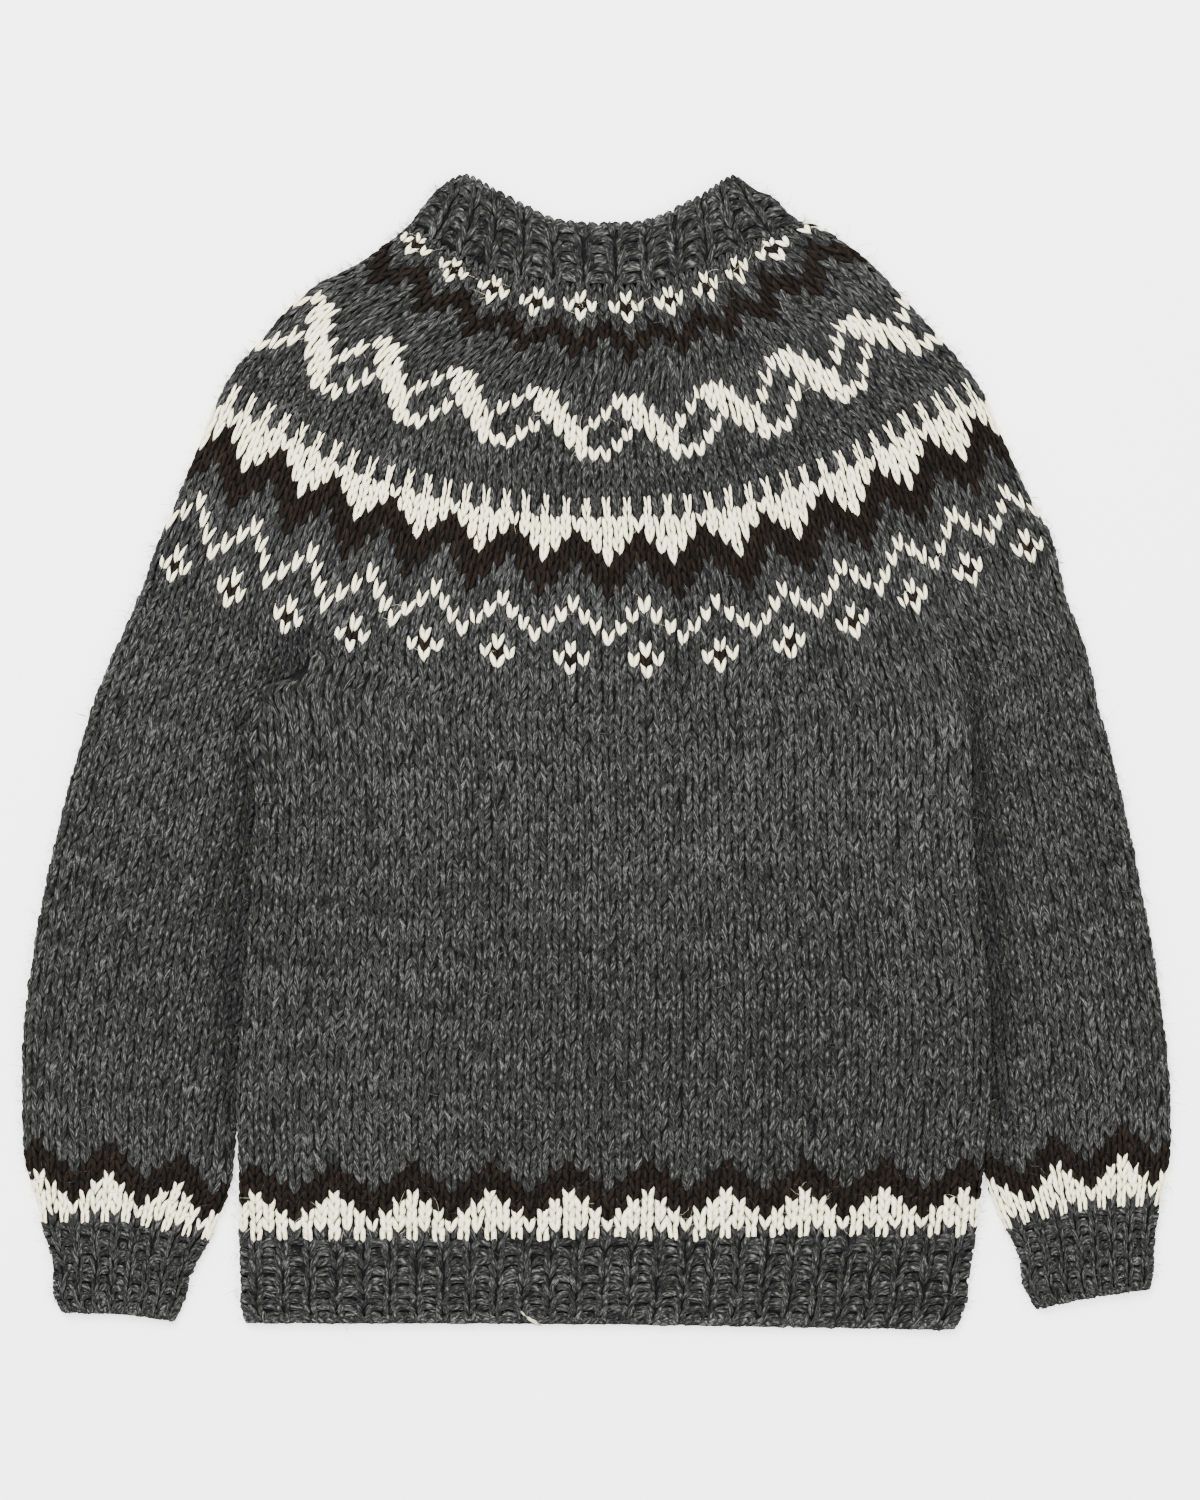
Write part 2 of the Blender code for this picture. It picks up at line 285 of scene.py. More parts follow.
class Line:
    """A smooth line through guide points in the plane of the surface, measured along its length."""

    STEPS = 24

    def __init__(self, guides):
        guides = [np.array(point, float) for point in guides]
        ends = [guides[0] * 2 - guides[1]] + guides + [guides[-1] * 2 - guides[-2]]
        points = [guides[0][None]]
        for before, start, end, after in zip(ends, ends[1:], ends[2:], ends[3:]):
            points.append(self.span(before, start, end, after))
        self.points = np.concatenate(points)
        self.measure()
        self.knots = self.along[:: self.STEPS]

    def span(self, before, start, end, after):
        reach = np.linalg.norm(end - start)
        lead = (end - before) * (reach / (np.linalg.norm(start - before) + reach)) / 3
        trail = (after - start) * (reach / (np.linalg.norm(after - end) + reach)) / 3
        t = (np.arange(1, self.STEPS + 1) / self.STEPS)[:, None]
        near, far = start + lead, end - trail
        return (1 - t) ** 3 * start + 3 * (1 - t) ** 2 * t * near + 3 * (1 - t) * t**2 * far + t**3 * end

    def measure(self):
        steps = np.linalg.norm(np.diff(self.points, axis=0), axis=1)
        self.along = np.concatenate([[0.0], np.cumsum(steps)])
        self.length = self.along[-1]

    def part(self, first, last):
        """The part between two guide points, as a line of its own."""
        piece = object.__new__(Line)
        piece.points = self.points[first * self.STEPS : last * self.STEPS + 1]
        piece.measure()
        piece.knots = piece.along[:: self.STEPS]
        return piece

    def at(self, distance):
        """Points at these distances; beyond an end the line goes straight on."""
        found = np.stack([np.interp(distance, self.along, self.points[:, axis]) for axis in (0, 1)], -1)
        before, after = np.minimum(distance, 0), np.maximum(distance - self.length, 0)
        for end, beside, past in ((0, 3, before), (-1, -4, after)):
            way = self.points[end] - self.points[beside]
            way = way / np.linalg.norm(way)
            found = found + way * np.abs(past)[..., None]
        return found


def eased(share):
    share = np.clip(share, 0.0, 1.0)
    return share * share * (3 - 2 * share)


class Section:
    """A line across a flattened tube, with the row that lies on it and the wales along it."""

    def __init__(self, line, row, wales, over=(0, 0), rise=(0.0, 0.0)):
        self.line = line
        self.row = row
        self.wales = wales  # (wale, distance along the line), from the left edge to the right
        self.over = over
        self.rise = rise

    def lift(self, distance):
        left = (distance - self.over[0] - COVER) / RAMP
        right = (self.line.length - distance - self.over[1] - COVER) / RAMP
        shares = self.rise[0] * (1 - eased(left)) + self.rise[1] * (1 - eased(right))
        return LIFT * shares

    def places(self, wale, radius, side):
        """Points above these wales, on the front (side 1) or the back (side -1) of the tube."""
        total = self.line.length + 2 * FOLD_EXTRA
        marks = [mark for mark, _ in self.wales]
        spots = [0.0] + [d + FOLD_EXTRA for _, d in self.wales[1:-1]] + [total]
        s = np.interp(wale, marks, spots)
        first = (spots[1] - spots[0]) / (marks[1] - marks[0])
        last = (spots[-1] - spots[-2]) / (marks[-1] - marks[-2])
        s = s + np.minimum(wale - marks[0], 0) * first + np.maximum(wale - marks[-1], 0) * last
        left = s < total / 2
        angle = np.where(left, s, total - s) / SPINE
        turn = np.clip(angle, -math.pi / 2, math.pi / 2)
        flat = FOLD + (np.abs(angle) - math.pi / 2) * SPINE
        inset = np.where(np.abs(angle) > math.pi / 2, flat, FOLD - radius * np.cos(turn))
        distance = np.where(left, inset, self.line.length - inset)
        height = FOLD + self.lift(distance) + side * radius * np.sin(turn)
        return np.concatenate([self.line.at(distance), height[..., None]], -1)


def through_rows(values, rows, wanted):
    """Values at the wanted rows, on smooth curves across the sections. The last axis is x, y, z."""
    gaps = np.diff(rows)
    slopes = np.diff(values, axis=0) / gaps[:, None, None]
    weights = (gaps[1:] / (gaps[1:] + gaps[:-1]))[:, None, None]
    inner = slopes[:-1] * weights + slopes[1:] * (1 - weights)
    tangents = np.concatenate([slopes[:1], inner, slopes[-1:]])
    index = np.clip(np.searchsorted(rows, wanted) - 1, 0, len(rows) - 2)
    gap = gaps[index][:, None, None]
    t = (wanted - rows[index])[:, None, None] / gap
    inside = np.clip(t, 0, 1)
    beyond = (t - inside) * gap
    a, b = values[index], values[index + 1]
    ta, tb = tangents[index] * gap, tangents[index + 1] * gap
    t2, t3 = inside**2, inside**3
    curve = (2 * t3 - 3 * t2 + 1) * a + (t3 - 2 * t2 + inside) * ta + (3 * t2 - 2 * t3) * b + (t3 - t2) * tb
    curve[..., 2] = (a + (b - a) * inside)[..., 2]
    ends = np.where(t > 0.5, tangents[index + 1], tangents[index])
    curve[..., :2] += (beyond * ends)[..., :2]
    return curve


# Soft hollows and ridges of the laid cloth: centre, half sizes along and across, turn, and height.
Crease = namedtuple("Crease", "x y along across turn height")
# Their heights also paint shade into the yarn's tone in the hollows, and light on the ridges, in
# melange_tiles.
CREASES = (
    Crease(219, 12, 40, 7, 94, -2.6),
    Crease(206, 10, 40, 8, 92, 1.2),
    Crease(-177, 55, 15, 8, 35, -2.8),
    Crease(-205, -60, 90, 9, 88, -2.0),
    Crease(-212, -170, 60, 9, 92, -2.0),
    Crease(226, -80, 70, 9, 94, -1.8),
    Crease(233, -180, 60, 9, 90, -1.4),
    Crease(-120, -150, 120, 26, 80, 0.8),
    Crease(60, -60, 150, 30, 20, 0.7),
    Crease(130, -190, 120, 24, 105, -0.8),
    Crease(-40, -230, 130, 22, 8, -0.6),
    Crease(-285, -60, 110, 18, 75, 0.8),
    Crease(270, -90, 110, 16, 105, 0.7),
    Crease(-60, 120, 90, 22, 150, 0.6),
    Crease(95, 130, 90, 20, 35, -0.6),
)

# Painted shade: where the body rests on the sleeves, the sleeves' yarn is painted darker, from creases that
# set tone alone.
SLEEVE_SHADOWS = (
    Crease(-178, 48, 16, 9, 32, -4.0),
    Crease(-200, 5, 34, 8, 100, -2.2),
    Crease(-201, -60, 60, 7, 89, -2.4),
    Crease(-208, -150, 62, 8, 93, -2.4),
    Crease(214, 30, 20, 8, 96, -1.8),
    Crease(221, -20, 42, 12, 94, -2.2),
    Crease(228, -100, 60, 10, 93, -1.6),
    Crease(233, -175, 50, 9, 92, -1.5),
)


def crease_height(x, y, creases=CREASES):
    total = np.zeros_like(x)
    for crease in creases:
        turn = math.radians(crease.turn)
        dx, dy = x - crease.x, y - crease.y
        along = (dx * math.cos(turn) + dy * math.sin(turn)) / crease.along
        across = (dy * math.cos(turn) - dx * math.sin(turn)) / crease.across
        total += crease.height * np.exp(-(along**2) - across**2)
    return total


class Fabric:
    """One tube of knitting: gives the place above any wale and row, from a fine grid."""

    WALE_STEP = 0.25
    ROW_STEP = 0.5
    MARGIN = 2.0
    EDGE_ROOM = 0.35  # how far round a fold the middle of an edge stitch may lie, in wales

    def __init__(self, sections, seed, shadows=()):
        sections = sorted(sections, key=lambda section: section.row)
        self.sections = sections
        # shadows: creases that only paint shade into the yarn's tone
        self.shadows = shadows
        self.rows = np.array([section.row for section in sections], float)
        self.left = np.array([section.wales[0][0] for section in sections])
        self.right = np.array([section.wales[-1][0] for section in sections])
        self.first_wale = self.left.min() - self.MARGIN
        self.first_row = self.rows[0] - self.MARGIN
        wales = np.arange(self.first_wale, self.right.max() + self.MARGIN, self.WALE_STEP)
        rows = np.arange(self.first_row, self.rows[-1] + self.MARGIN, self.ROW_STEP)
        self.grids = {side: self.grid(wales, rows, side) for side in (1, -1)}
        self.random = np.random.default_rng(seed)

    def grid(self, wales, rows, side):
        """The ground point and the upward step of 1 mm at each point of the grid."""
        layers = []
        for radius in (GROUND, GROUND + 1.0):
            values = np.stack([section.places(wales, radius, side) for section in self.sections])
            layers.append(through_rows(values, self.rows, rows))
        ground, above = layers
        step = above - ground
        wave = crease_height(ground[..., 0], ground[..., 1]) if side > 0 else np.zeros(ground.shape[:2])
        ground[..., 2] += wave * np.clip(step[..., 2], 0, 1)
        return ground, step

    def sample(self, wale, row, height, side):
        """Points at these wales and rows, this far above the ground cloth."""
        ground, step = self.grids[side]
        a = np.clip((wale - self.first_wale) / self.WALE_STEP, 0, ground.shape[1] - 1.001)
        b = np.clip((row - self.first_row) / self.ROW_STEP, 0, ground.shape[0] - 1.001)
        i, j = a.astype(int), b.astype(int)
        fa, fb = (a - i)[..., None], (b - j)[..., None]
        found = []
        for grid in (ground, step):
            low = grid[j, i] * (1 - fa) + grid[j, i + 1] * fa
            high = grid[j + 1, i] * (1 - fa) + grid[j + 1, i + 1] * fa
            found.append(low * (1 - fb) + high * fb)
        return found[0] + found[1] * height[..., None]

    def edges(self, row):
        return np.interp(row, self.rows, self.left), np.interp(row, self.rows, self.right)

    def stitches(self, wales, rows):
        """All pairs of these wales and rows that lie between the two folds."""
        wale, row = (grid.ravel() for grid in np.meshgrid(wales, rows))
        left, right = self.edges(row)
        inside = (wale > left - self.EDGE_ROOM) & (wale < right + self.EDGE_ROOM)
        return wale[inside], row[inside]


# Stitch shapes. A shape is modelled once in the stitch's own space: across in wales, along in rows and
# up in millimetres. Every stitch of the sweater is then a copy of it.


class Shape:
    """A closed grain of yarn from rings round a centre line that ends in two points."""

    def __init__(self, centres, widths, heights, sides, along_row=False):
        count = len(centres)
        rings = range(1, count - 1)
        points, places = [centres[0]], [(0.5, 0.0)]
        start = math.pi / 2 if sides % 2 else math.pi / 4
        for ring in rings:
            u, v, h = centres[ring]
            share = ring / (count - 1)
            for side in range(sides):
                angle = start + 2 * math.pi * side / sides
                out, up = math.cos(angle) * widths[ring], math.sin(angle) * heights[ring]
                points.append((u, v + out, h + up) if along_row else (u + out, v, h + up))
                places.append((0.5 + 0.5 * math.cos(angle), share))
        points.append(centres[-1])
        places.append((0.5, 1.0))
        self.points = np.array(points)
        self.places = np.array(places)
        self.faces = np.array(self.skin(len(rings), sides))
        if along_row:
            self.faces = self.faces[:, ::-1]

    @staticmethod
    def skin(rings, sides):
        faces = []
        last = 1 + rings * sides
        for side in range(sides):
            after = (side + 1) % sides
            faces.append((0, 1 + after, 1 + side))
            for ring in range(rings - 1):
                low, high = 1 + ring * sides, 1 + (ring + 1) * sides
                faces.append((low + side, low + after, high + after))
                faces.append((low + side, high + after, high + side))
            top = 1 + (rings - 1) * sides
            faces.append((last, top + side, top + after))
        return faces


LEG_MARKS = (0, 0.15, 0.4, 0.7, 0.9, 1)  # the shares of a leg's length at which its profile is given
LEG_SPREAD = 0.36  # how far the legs of a stitch part towards its top
LEG_START, LEG_REACH = -0.90, 1.86  # along the wale, from the middle of the row
BAR_MARKS = (0, 0.2, 0.5, 0.8, 1)
BAR_START, BAR_BOW = -0.14, 0.36


def leg_shape(rings, sides, lean=1.0, full=1.0, start=0.045, foot=0.125):
    """One leg of a knit stitch: narrow at the point of the V, full in the middle, tucked in at the top."""
    share = np.linspace(0, 1, rings + 2)
    across = start + LEG_SPREAD * lean * share**0.95
    along = LEG_START + LEG_REACH * share
    up = np.interp(share, LEG_MARKS, (0.1, 0.75, 1.15, 1.05, 0.6, -0.1))
    width = np.interp(share, LEG_MARKS, (0, foot, 0.215, 0.22, 0.13, 0)) * full
    thick = np.interp(share, LEG_MARKS, (0, 0.7, 0.95, 0.9, 0.6, 0))
    return Shape(np.stack([across, along, up], -1), width, thick, sides)


def bar_shape(rings, sides, length=1.5, low=-0.1, high=1.25):
    """One purl stitch of a rib: an arched bar across the wale."""
    share = np.linspace(0, 1, rings + 2)
    arch = np.sin(math.pi * share)
    across = (share - 0.5) * length
    along = BAR_START + BAR_BOW * arch
    up = low + (high - low) * arch**0.5
    width = np.interp(share, BAR_MARKS, (0, 0.56, 0.68, 0.56, 0))
    thick = np.interp(share, BAR_MARKS, (0, 0.7, 0.8, 0.7, 0))
    return Shape(np.stack([across, along, up], -1), width, thick, sides, along_row=True)


Copies = namedtuple("Copies", "points faces places")

# How uneven the stitches are: the spread of their places, sizes and slants.
SHIFT, SLIDE = 0.038, 0.075
BROAD, TALL = 0.09, 0.16
SWAY, TILT = 0.05, 0.16


def on_strip(corner, places):
    """Places on one strip of the yarn's map, from its corner and the shares along its two sides."""
    return (corner + STRIP_MARGIN + (1 - 2 * STRIP_MARGIN) * places) / TILES


def copies_of(fabric, shape, wale, row, side, mirror, tile, loose=1.0, tall_row=1.0):
    """Copies of a shape at these stitches, mirrored for the left leg, each a little uneven."""
    count = len(wale)

    def spread(middle, width):
        return fabric.random.normal(middle, width, (count, 1))

    shift, slide = spread(0, SHIFT * loose), spread(0, SLIDE * loose)
    broad, tall = spread(1, BROAD), spread(1, TALL)
    sway, tilt = spread(0, SWAY * loose), spread(0, TILT * loose)
    u, v, h = shape.points.T
    flip = -1.0 if mirror else 1.0
    across = wale[:, None] + shift + flip * u * broad + sway * v
    along = row[:, None] + (slide + v + tilt * u) * tall_row
    points = fabric.sample(across, along, h * tall, side)
    points[..., 2] = np.maximum(points[..., 2], REST_LEVEL)
    faces = shape.faces if (not mirror) == (side > 0) else shape.faces[:, ::-1]
    offsets = (np.arange(count) * len(shape.points))[:, None, None]
    corner = np.stack([tile % TILES, tile // TILES], -1)[:, None, :]
    places = on_strip(corner, shape.places)
    return Copies(points.reshape(-1, 3), (faces + offsets).reshape(-1, 3), places.reshape(-1, 2))


def joined(batches):
    """Several batches of copies as one."""
    start, points, faces, places = 0, [], [], []
    for batch in batches:
        points.append(batch.points)
        faces.append(batch.faces + start)
        places.append(batch.places)
        start += len(batch.points)
    return Copies(np.concatenate(points), np.concatenate(faces), np.concatenate(places))


def mesh_piece(name, copies, material):
    """A mesh object of triangles, in metres, with the yarn's own map."""
    mesh = bpy.data.meshes.new(name)
    mesh.vertices.add(len(copies.points))
    mesh.vertices.foreach_set("co", (copies.points * MM).astype(np.float32).ravel())
    corners = copies.faces.ravel().astype(np.int32)
    mesh.loops.add(len(corners))
    mesh.loops.foreach_set("vertex_index", corners)
    mesh.polygons.add(len(copies.faces))
    mesh.polygons.foreach_set("loop_start", np.arange(0, len(corners), 3, dtype=np.int32))
    mesh.update(calc_edges=True)
    layer = mesh.uv_layers.new(name=MAP_NAME)
    layer.uv.foreach_set("vector", copies.places[corners].astype(np.float32).ravel())
    mesh.shade_smooth()
    mesh.materials.append(material)
    piece = bpy.data.objects.new(name, mesh)
    bpy.context.scene.collection.objects.link(piece)
    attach(piece, "root")
    return piece


# Slow waves of the yarn's lightness: how they turn from wale to wale and from row to row, where they
# start, and their size.
ToneWave = namedtuple("ToneWave", "wale row start size")
TONE_WAVES = (ToneWave(0.31, 2.1, 0.0, 1.0), ToneWave(0.13, -1.3, 1.0, 1.0), ToneWave(0.045, 0.11, 2.0, 0.9))
TONE_DRIFT = 0.6  # levels of the yarn's tone for a wave of size 1
TONE_SCATTER = 1.5  # and the spread from stitch to stitch
PAINTED_CREASE_SHADE = 1.1  # painted shade and light: levels of tone for each millimetre of a hollow, painted darker, or of a ridge, painted lighter


def melange_tiles(fabric, wale, row, side=1, lift=0.0):
    """The strip of yarn for each stitch. Its lightness drifts along the rows, as the yarn's does; it is
    painted darker in the hollows of the cloth and lighter on its ridges, as painted shade and light, and
    a negative lift paints it darker still, as shade."""
    drift = sum(wave.size * np.sin(wale * wave.wale + row * wave.row + wave.start) for wave in TONE_WAVES)
    place = fabric.sample(wale, row, np.zeros(len(wale)), side)
    # painted shade in the hollows, painted light on the ridges
    crease_painted_shade = crease_height(place[:, 0], place[:, 1], CREASES + fabric.shadows) * PAINTED_CREASE_SHADE
    scatter = fabric.random.normal(0, TONE_SCATTER, len(wale))
    level = TILES / 2 + lift + drift * TONE_DRIFT + crease_painted_shade + scatter
    level = np.clip(level, 0, TILES - 1).astype(int)
    return level * TILES + fabric.random.integers(0, TILES, len(wale))


def knit_batches(fabric, wale, row, shape, side, loose=1.0, tall_row=1.0, lift=0.0):
    """Both legs of these knit stitches. A negative lift paints their yarn darker by that many levels, as
    shade.
    """
    batches = []
    for mirror in (False, True):
        tile = melange_tiles(fabric, wale, row, side, lift)
        batches.append(copies_of(fabric, shape, wale, row, side, mirror, tile, loose, tall_row))
    return batches


def chart_kinds(chart, wale, row, first_column):
    """The kind of each stitch, as its number in LETTERS. Outside the chart's rows it is 0."""
    cells = np.array([[LETTERS.index(letter) for letter in line] for line in reversed(chart.rows)])
    level = np.round(row - chart.bottom).astype(int)
    column = np.round(wale - first_column).astype(int) % cells.shape[1]
    inside = (level >= 0) & (level < len(cells))
    return np.where(inside, cells[np.clip(level, 0, len(cells) - 1), column], 0)


def knit_legs(rings, sides):
    """The leg of each kind of stitch, in the order of LETTERS. The plain charcoal one, which is by far
    the most common, has at most three rings."""
    return (
        leg_shape(min(rings, 3), sides, full=1.1),
        leg_shape(rings, sides, full=1.02),
        leg_shape(rings, sides, full=1.06),
        leg_shape(rings, sides, lean=0.8, full=0.72),
        leg_shape(rings, sides, lean=0.3, full=0.92, start=0.2, foot=0.22),
    )


def rib_legs(rings, sides):
    """The two legs of a rib's knit stitches: an open one, and a tight one that closes over the groove."""
    return (
        leg_shape(rings, sides, lean=0.95, full=1.18, start=0.16),
        leg_shape(rings, sides, lean=1.1, full=1.18, start=0.04),
    )


# The two layers of a tube. The back rests on the table, and its stitches have fewer faces.
Layer = namedtuple("Layer", "name side legs rib_legs bar")
LAYERS = (
    Layer("front", 1, knit_legs(4, 5), rib_legs(4, 5), bar_shape(4, 4)),
    Layer("back", -1, knit_legs(2, 3), rib_legs(2, 3), bar_shape(3, 3)),
)
CHAIN_GRAIN = bar_shape(3, 4, length=1.0, low=0.1)
CHAIN_LOOSE = 0.5
RIB_LOOSE = 1.35
RIB_PAINTED_SHADE = -0.9  # painted shade: levels of tone by which a rib's yarn is painted darker, as it lies a little in its own shade
RIB_TIGHT = 0.4  # the share of a rib's knit stitches that are tight


class Knitted:
    """Collects the stitches of one piece by yarn and by layer, and makes its meshes."""

    def __init__(self, name, node=None):
        self.name = name
        self.node = node or name
        self.batches = {}

    def add(self, yarn, layer, batches):
        self.batches.setdefault((yarn, layer), []).extend(batches)

    def meshes(self, materials):
        pieces = []
        for (yarn, layer), batches in sorted(self.batches.items()):
            name = f"{self.name}_{YARN_NAMES[yarn]}_{layer}"
            piece = mesh_piece(name, joined(batches), materials[yarn])
            pieces.append(piece)
        return pieces


def knit(knitted, fabric, wale, row, kinds):
    """Knit stitches on both layers of a tube, of the kinds that its charts give for each side."""
    for layer in LAYERS:
        for kind, leg in enumerate(layer.legs):
            chosen = kinds[layer.side] == kind
            if chosen.any():
                batches = knit_batches(fabric, wale[chosen], row[chosen], leg, layer.side)
                knitted.add(YARN_OF_KIND[kind], layer.name, batches)


def short_rows(knitted, fabric, wales, upper, lower):
    """Plain rows that fill the cloth between two rows, more of them where it is deeper."""
    for wale in wales:
        spots = np.array([float(wale)] * 2)
        ends = fabric.sample(spots, np.array([upper, lower], float), np.zeros(2), 1)
        count = max(1, round(float(np.linalg.norm(ends[1] - ends[0])) / ROW_PITCH) - 1)
        pitch = (upper - lower) / (count + 1)
        row = upper - pitch * np.arange(1, count + 1)
        column = np.full(count, float(wale))
        for layer in LAYERS:
            leg = layer.legs[CHARCOAL]
            batches = knit_batches(fabric, column, row, leg, layer.side, tall_row=pitch)
            knitted.add(CHARCOAL, layer.name, batches)


def rib(knitted, fabric, wales, rows, knit_phase):
    """Knit 1, purl 1: columns of V stitches between columns of bars."""
    wale, row = fabric.stitches(wales, rows)
    is_knit = np.round(wale - knit_phase).astype(int) % 2 == 0
    is_tight = fabric.random.uniform(0, 1, len(wale)) < RIB_TIGHT
    for layer in LAYERS:
        side = layer.side
        for leg, chosen in zip(layer.rib_legs, (is_knit & ~is_tight, is_knit & is_tight)):
            batches = knit_batches(fabric, wale[chosen], row[chosen], leg, side, RIB_LOOSE, 1.0, RIB_PAINTED_SHADE)
            knitted.add(CHARCOAL, layer.name, batches)
        purl_wale, purl_row = wale[~is_knit], row[~is_knit]
        tile = melange_tiles(fabric, purl_wale, purl_row, side, RIB_PAINTED_SHADE)
        bars = copies_of(fabric, layer.bar, purl_wale, purl_row, side, False, tile, RIB_LOOSE)
        knitted.add(CHARCOAL, layer.name, [bars])


# Loose fibres: sizes in millimetres, turns in radians.
HAIR_SIDES = 3
HAIR_RADII = np.array([0.0, 0.10, 0.09, 0.07, 0.0])
CREAM_HAIR = 0.55  # cream fibres are finer
HAIR_LINES = np.arange(TILES - 3, TILES)  # the lighter strips of yarn
HAIR_TURN = 0.9  # spread of their turns and curls
HAIR_ROOT = (1.6, 2.2)  # height above the ground cloth
HAIR_RISE = (0.1, 0.9)  # height of their arch
RIM_HAIR = (2.5, 6.0)  # lengths
LYING_HAIR = (4.0, 13.0)


def hairs(starts, turns, lengths, curls, rise, radii):
    """Thin curved fibres with HAIR_SIDES sides and pointed ends. They don't follow the cloth."""
    share = np.linspace(0, 1, len(radii))
    angle = turns[:, None] + curls[:, None] * share
    step = lengths[:, None] / (len(radii) - 1)
    way = np.stack([np.cos(angle), np.sin(angle)], -1) * step[..., None]
    flat = np.cumsum(way, axis=1) - way
    height = rise[:, None] * np.sin(math.pi * share)
    centres = starts[:, None] + np.concatenate([flat, height[..., None]], -1)
    across = np.stack([-np.sin(angle), np.cos(angle), np.zeros_like(angle)], -1)
    up = np.array([0.0, 0.0, 1.0])
    rings = []
    for side in range(HAIR_SIDES):
        turn = math.pi / 2 + 2 * math.pi * side / HAIR_SIDES
        out = (across[:, 1:-1] * math.cos(turn) + up * math.sin(turn)) * radii[1:-1, None]
        rings.append(centres[:, 1:-1] + out)
    middle = np.stack(rings, 2).reshape(len(starts), -1, 3)
    points = np.concatenate([centres[:, :1], middle, centres[:, -1:]], 1)
    return points, np.array(Shape.skin(len(radii) - 2, HAIR_SIDES))


def hair_copies(draw, points, faces):
    """The fibres as one batch, each on a lighter strip of its yarn."""
    count = len(points)
    offsets = (np.arange(count) * points.shape[1])[:, None, None]
    along = np.concatenate([[0.0], np.repeat([0.25, 0.5, 0.75], HAIR_SIDES), [1.0]])
    strip = np.stack([np.full(along.shape, 0.5), along], -1)
    corner = np.stack([draw.integers(0, TILES, count), draw.choice(HAIR_LINES, count)], -1)
    places = on_strip(corner[:, None], strip).reshape(-1, 2)
    return Copies(points.reshape(-1, 3), (faces + offsets).reshape(-1, 3), places)


def scattered(fabric, count, stitches):
    """Places all over the front, or at stitches picked from a wale and a row for each."""
    draw = fabric.random
    if stitches is None:
        row = draw.uniform(fabric.rows[0], fabric.rows[-1], count)
        left, right = fabric.edges(row)
        return left + (right - left) * draw.uniform(0, 1, count), row
    pick = draw.integers(0, len(stitches[0]), count)
    return stitches[0][pick], stitches[1][pick]


def fuzz(knitted, fabric, yarn, count, stitches=None, halo=0.4):
    """Loose fibres of the wool: some lie on the front, and a share stands out from the two folds."""
    draw = fabric.random
    wale, row = scattered(fabric, count, stitches)
    left, right = fabric.edges(row)
    turns = draw.uniform(0, 2 * math.pi, count)
    rim = draw.uniform(0, 1, count) < halo
    first = rim & (wale < (left + right) / 2)
    last = rim & ~first
    wale = np.where(first, left, np.where(last, right, wale))
    turns = np.where(first, math.pi + draw.normal(0, HAIR_TURN, count), turns)
    turns = np.where(last, draw.normal(0, HAIR_TURN, count), turns)
    starts = fabric.sample(wale, row, draw.uniform(*HAIR_ROOT, count), 1)
    lengths = np.where(rim, draw.uniform(*RIM_HAIR, count), draw.uniform(*LYING_HAIR, count))
    curls = draw.normal(0, HAIR_TURN, count)
    rise = draw.uniform(*HAIR_RISE, count)
    radii = HAIR_RADII * (CREAM_HAIR if yarn == CREAM else 1.0)
    points, faces = hairs(starts, turns, lengths, curls, rise, radii)
    knitted.add(yarn, "fuzz", [hair_copies(draw, points, faces)])


def edge(knitted, fabric, row, step):
    """The cast-on or cast-off chain: short slanting grains along an edge."""
    left, right = (float(side) for side in fabric.edges(row))
    wale = np.arange(left, right, step)
    rows = np.full(wale.shape, float(row))
    for layer in LAYERS:
        tile = melange_tiles(fabric, wale, rows, layer.side)
        chain = copies_of(fabric, CHAIN_GRAIN, wale, rows, layer.side, False, tile, CHAIN_LOOSE)
        knitted.add(CHARCOAL, layer.name, [chain])


# The thin cloth under the stitches

CLOTH_WALL = 1.3
CLOTH_COLUMNS = 56  # points across a layer
CLOTH_ROWS = 2  # rows of knitting between two rows of points
CLOTH_TOP = -2.8  # where it ends under the yoke, in the body and the sleeves


def cloth_points(fabric, rows, height):
    """The points all round the tube at these rows, this far above the ground."""
    share = np.linspace(0, 1, CLOTH_COLUMNS)
    left, right = fabric.edges(rows)
    wale = left[:, None] + (right - left)[:, None] * share
    row = np.repeat(rows[:, None], CLOTH_COLUMNS, 1)
    front, back = (fabric.sample(wale, row, np.full(wale.shape, height), side) for side in (1, -1))
    return np.concatenate([front, back[:, -2:0:-1]], 1)


def shell_faces(count, around):
    """Triangles of an open tube: its outer wall, its inner wall and the rims between them."""
    inner, top = count * around, (count - 1) * around
    faces = []
    for start in range(0, top, around):
        for c in range(around):
            d = (c + 1) % around
            a, b, e, f = start + c, start + d, start + around + d, start + around + c
            faces += [(a, b, e), (a, e, f)]
            faces += [(inner + a, inner + e, inner + b), (inner + a, inner + f, inner + e)]
    for c in range(around):
        d = (c + 1) % around
        faces += [(c, inner + c, inner + d), (c, inner + d, d)]
        faces += [(top + c, inner + top + d, inner + top + c), (top + c, top + d, inner + top + d)]
    return np.array(faces)


def cloth_shell(fabric, first_row, last_row):
    """A closed shell round the tube. Its map has the outer wall in the lower half."""
    rows = np.linspace(first_row, last_row, max(4, int(abs(last_row - first_row) / CLOTH_ROWS) + 2))
    walls = [cloth_points(fabric, rows, height) for height in (0.0, -CLOTH_WALL)]
    around = walls[0].shape[1]
    inner = len(rows) * around
    index = np.arange(2 * inner)
    level = (index % inner // around) / len(rows)
    half = np.where(index >= inner, 0.5, 0.0)
    places = np.stack([(index % around) / around, half + level * 0.5], -1)
    points = np.concatenate([wall.reshape(-1, 3) for wall in walls])
    return Copies(points, shell_faces(len(rows), around), places)


